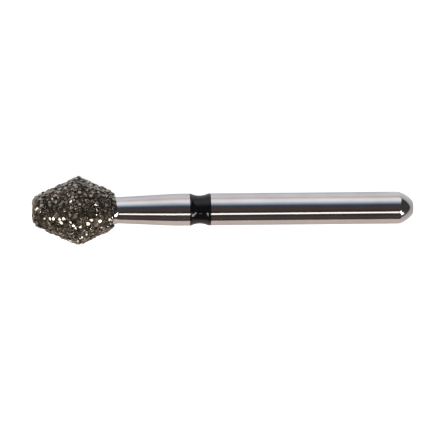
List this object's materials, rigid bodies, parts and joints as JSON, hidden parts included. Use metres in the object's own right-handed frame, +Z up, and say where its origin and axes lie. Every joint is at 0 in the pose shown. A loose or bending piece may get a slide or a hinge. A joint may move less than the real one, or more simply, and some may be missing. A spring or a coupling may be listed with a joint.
{
  "type": "dental bur",
  "caption": "Super-coarse double-cone diamond bur with a friction-grip shank, lying on its side",
  "frame": {"origin": "bottom centre of the bounding box, on the surface that the bur lies on", "axes": "+Z up, +X towards the shank end; the bur lies on its head and its shank end, so its axis dips by about 3 degrees towards +X"},
  "size_m": [0.019, 0.0034, 0.0034],
  "materials": {
    "polished_steel": "ground and polished stainless steel",
    "diamond_in_nickel": "rough diamond crystals in electroplated nickel",
    "black_lacquer": "glossy black lacquer"
  },
  "bodies": {
    "root": {"blank": "polished_steel", "diamond_coating": "diamond_in_nickel", "colour_band": "black_lacquer"}
  },
  "joints": []
}
